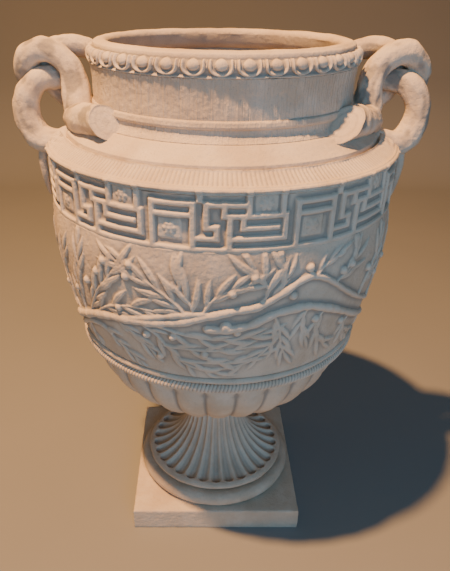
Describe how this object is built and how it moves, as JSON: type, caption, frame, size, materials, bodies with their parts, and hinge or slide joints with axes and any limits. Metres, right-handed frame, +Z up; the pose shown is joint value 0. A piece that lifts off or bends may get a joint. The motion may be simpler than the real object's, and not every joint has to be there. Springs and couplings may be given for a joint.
{
  "type": "amphora",
  "caption": "Large pale-clay amphora with branch handles, key band, olive-bough relief, rope moulding, fluted bowl and socle on a square plinth.",
  "frame": {"origin": "centre of the plinth's underside", "axes": "+Z up along the vase's axis, -Y towards the front of the relief, +X through the right handle"},
  "size_m": [0.6672, 0.5838, 0.9085],
  "materials": {
    "clay": "matte, unglazed",
    "relief_clay": "matte, unglazed, pressed",
    "branch_clay": "matte, unglazed, hand modelled"
  },
  "bodies": {
    "root": {"plinth": "clay", "base_torus": "clay", "fluted_socle": "clay", "foot_collar": "clay", "gadrooned_bowl": "clay", "rope_moulding": "relief_clay", "ridge_ring": "clay", "frieze_wall": "clay", "meander_band": "relief_clay", "shoulder": "clay", "neck": "clay", "neck_ridge": "clay", "egg_and_dart_rim": "relief_clay", "olive_bough_upper_front": "relief_clay", "olive_bough_lower_front": "relief_clay", "olive_bough_upper_back": "relief_clay", "olive_bough_lower_back": "relief_clay", "ring_branch_right": "branch_clay", "cut_stub_right": "branch_clay", "arch_branch_right": "branch_clay", "back_branch_right": "branch_clay", "root_twig_right": "branch_clay", "ring_branch_left": "branch_clay", "cut_stub_left": "branch_clay", "arch_branch_left": "branch_clay", "back_branch_left": "branch_clay", "root_twig_left": "branch_clay"}
  },
  "joints": []
}
